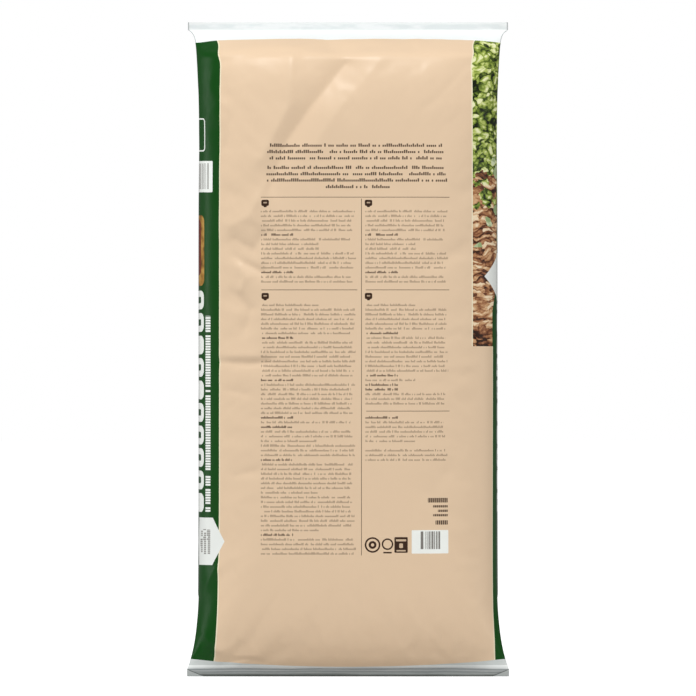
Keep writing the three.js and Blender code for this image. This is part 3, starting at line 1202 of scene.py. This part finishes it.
def side_blocks(w, film):
    """A column of plain white blocks up each side, some with a hole, as one block repeated."""
    across, up = w.across_and_up(film)
    pitch = (SIDE_BLOCKS_TO - SIDE_BLOCKS_FROM) / SIDE_BLOCKS * MM
    up = w.minus(up, SIDE_BLOCKS_FROM * MM)
    is_right = w.is_over(across, 0.0)
    shift = w.times(is_right, (RIGHT_BLOCKS_START + LEFT_BLOCKS_START) * MM)
    from_middle = w.minus(w.size(across), shift)
    repeated = w.combine(from_middle, w.calc("WRAP", up, pitch, 0.0))
    middle = SIDE_BLOCKS_HALF_WIDTH - LEFT_BLOCKS_START
    half_pitch = pitch / 2 / MM
    half_height = half_pitch - SIDE_BLOCKS_GAP / 2
    blocks = box(w, repeated, middle, half_pitch, SIDE_BLOCKS_HALF_WIDTH, half_height, BLOCK_CORNER)
    holes = box(w, repeated, middle, half_pitch, SIDE_BLOCKS_HALF_WIDTH - HOLE_INSET, half_height - HOLE_INSET,
                HOLE_CORNER)
    number = w.floor(w.over(up, pitch))
    has_hole = w.is_under(w.random(w.combine(number, is_right, 5.0)), HOLE_SHARE)
    shapes = w.minus(blocks, w.times(holes, has_hole))
    return w.times(shapes, w.between(up, 0.0, pitch * SIDE_BLOCKS))


def side_inks(w, film):
    lettering = lines_of_marks(w, turned(w, film), *SIDE_LETTERING, Centred=0.5)
    marks = [lettering, side_blocks(w, film)]
    frame_edge = box(w, film, *CONTENTS_FRAME, out="Distance")
    marks.append(w.between(frame_edge, -CONTENTS_LINE * MM, 0.0))
    return strongest(w, marks)


# %% Labels, badges and bar codes
# Boxes as in the rules above, and the left, right, bottom and top of the stripes
SIDE_CODE_LABEL = (-207.0, 652.4, 27.0, 20.5, 1.5)
SIDE_CODE = (-227, -187, 636, 670)
SIDE_CODE_STRENGTH = 0.85
PANEL_CODE_LABEL = (106.0, 176.5, 23.8, 15.2, 0.8)
PANEL_CODE = (92.0, 119.5, 167, 190)
PANEL_CODE_STRENGTH = 0.8
CHIP_LABEL = (-226.0, 556.0, 30.0, 46.0, 9.0)
CHIP_LABEL_TINTS = [(0.3, (70, 44, 20)), (0.5, (168, 122, 52)), (0.7, (206, 168, 90))]
RUSSET_LABEL = (-230.0, 560.0, 25.0, 36.0, 7.0)
# Across, up and the slant of the point
BADGES = [(-197.0, 176.5, 0.866), (250.0, 522.0, 0.45)]
BADGE_HALF_HEIGHT = 30.8
BADGE_LETTERING = (159, 193, 206, 182, 8, 0.9, 2.6)
BADGE_LETTERING_STRENGTH = 0.7


def print_badge(w, film, across, up, slant):
    return w.group(BADGE, Film=film, Across=across * MM, Up=up * MM, Half_Height=BADGE_HALF_HEIGHT * MM,
                   Slant=slant)


def print_code(w, film, tint, label, code, strength):
    left, right, bottom, top = (value * MM for value in code)
    tint = w.mix(box(w, film, *label), tint, WHITE_INK)
    bars = w.group(STRIPES, Film=film, Left=left, Right=right, Bottom=bottom, Top=top)
    return w.mix(w.times(bars, strength), tint, DARK_INK)


def print_sides(w, film, picture):
    tint = w.mix(picture, GREEN, w.group(PICTURE, Film=film))
    tint = w.mix(side_inks(w, film), tint, WHITE_INK)
    tint = print_code(w, film, tint, SIDE_CODE_LABEL, SIDE_CODE, SIDE_CODE_STRENGTH)
    ochre = ramp(w, noise(w, film, 60.0, 3.0), CHIP_LABEL_TINTS)
    tint = w.mix(box(w, film, *CHIP_LABEL), tint, ochre)
    return w.mix(box(w, film, *RUSSET_LABEL), tint, RUSSET)


def print_panel(w, film, tint, panel, line):
    tint = w.mix(line, tint, BARE_LINE)
    tint = w.mix(panel, tint, TAN)
    on_panel = w.times(panel, w.larger(small_print(w, film), rules_and_symbols(w, film)))
    tint = w.mix(on_panel, tint, DARK_INK)
    return print_code(w, film, tint, PANEL_CODE_LABEL, PANEL_CODE, PANEL_CODE_STRENGTH)


def print_badges(w, film, tint):
    tint = w.mix(strongest(w, [print_badge(w, film, *place) for place in BADGES]), tint, BADGE_INK)
    lettering = lines_of_marks(w, turned(w, film), *BADGE_LETTERING, Centred=1.0)
    return w.mix(w.times(lettering, BADGE_LETTERING_STRENGTH), tint, DARK_INK)


# %% The material
FILM_IOR = 1.5
FILM_SHINE = 0.22
BUMP_STRENGTH = 0.5
BUMP_HEIGHT = 1.2


def build_film_material():
    material = bpy.data.materials.new("printed film")
    material.use_nodes = True
    w = Wiring(material.node_tree)
    w.tree.nodes.clear()
    film = w.add("UVMap", out="UV", uv_map="film")
    position = w.add("TexCoord", out="Object")
    bare, panel, line, picture = field_masks(w, film, position)

    tint = print_sides(w, film, picture)
    tint = print_panel(w, film, tint, panel, line)
    tint = print_badges(w, film, tint)
    tint = w.mix(bare, tint, bare_film_and_shade(w, film, position))

    surface = w.group(SURFACE, Position=position, Lumps=1.0, Crackle=1.0).node.outputs
    bump = w.node("Bump", Strength=BUMP_STRENGTH, Distance=BUMP_HEIGHT * MM, Height=surface["Height"])
    plastic = w.node("BsdfPrincipled", IOR=FILM_IOR, Specular_IOR_Level=FILM_SHINE, Base_Color=tint,
                     Roughness=surface["Roughness"], Normal=bump.outputs[0])
    w.node("OutputMaterial", Surface=plastic.outputs[0])
    return material


film_material = build_film_material()
bag.data.materials.append(film_material)
print("film material of", len(film_material.node_tree.nodes), "nodes")

# %% [markdown]
# ## Floor, light and background
#
# The bag stands on a white floor in front of white. The lamps are large and soft:
# one above and in front, which leaves the turned-under bottom in shade, and a
# tall one at each side, which the glossy film shows as long pale bands. The film
# mirrors a darker world than the one that lights it, so the green stays deep.

# %% Floor and world
FLOOR_SIZE = 60.0
FLOOR_GREY = 0.6
FLOOR_ROUGHNESS = 0.9
FLOOR_GLOW = 0.75
AMBIENT = 0.5
LESS_IN_REFLECTIONS = 0.35

bpy.ops.mesh.primitive_plane_add(size=FLOOR_SIZE, location=(0, 0, 0))
floor = bpy.context.active_object
floor.name = "floor"
floor.select_set(False)

paper = bpy.data.materials.new("white floor")
paper.use_nodes = True
paper_wiring = Wiring(paper.node_tree)
seen = paper_wiring.add("LightPath", out="Is Camera Ray")
paper_wiring.fill(paper.node_tree.nodes["Principled BSDF"], Base_Color=(FLOOR_GREY, FLOOR_GREY, FLOOR_GREY, 1),
                  Roughness=FLOOR_ROUGHNESS, Emission_Color=(1, 1, 1, 1),
                  Emission_Strength=paper_wiring.times(seen, FLOOR_GLOW))
floor.data.materials.append(paper)

world = bpy.data.worlds.new("white studio")
scene.world = world
world.use_nodes = True
sky = Wiring(world.node_tree)
rays = sky.node("LightPath").outputs
direct = sky.larger(rays["Is Camera Ray"], rays["Is Transmission Ray"])
strength = sky.plus(AMBIENT, sky.times(direct, 1 - AMBIENT))
strength = sky.minus(strength, sky.times(rays["Is Glossy Ray"], LESS_IN_REFLECTIONS))
sky.fill(world.node_tree.nodes["Background"], Color=(1, 1, 1, 1), Strength=strength)

# %% Lamps
# Name, place, what it points at, width and height in metres, and power in watts
LAMPS = [
    ("top lamp", (-0.9, -3.8, 5.9), (0, 0, 0.35), 2.6, 2.2, 310.0),
    ("left lamp", (-2.0, 0.1, 0.9), (0, 0, 0.45), 0.35, 1.6, 6.0),
    ("right lamp", (2.0, -0.6, 0.9), (0, 0, 0.45), 0.35, 1.6, 3.0),
]


def add_soft_lamp(name, place, target, width, height, power):
    lamp = bpy.data.lights.new(name, "AREA")
    lamp.shape = "RECTANGLE"
    lamp.size, lamp.size_y = width, height
    lamp.energy = power
    placed = add_object(name, lamp)
    placed.location = place
    aim = Vector(target) - Vector(place)
    placed.rotation_euler = aim.to_track_quat("-Z", "Y").to_euler()


for lamp_values in LAMPS:
    add_soft_lamp(*lamp_values)
print("lamps of", [watts for *_, watts in LAMPS], "watts")

scene.view_settings.view_transform = "Standard"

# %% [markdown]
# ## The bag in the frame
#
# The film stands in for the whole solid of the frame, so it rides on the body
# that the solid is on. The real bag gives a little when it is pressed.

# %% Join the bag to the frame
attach(bag, "root")
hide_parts("mulch_bag")
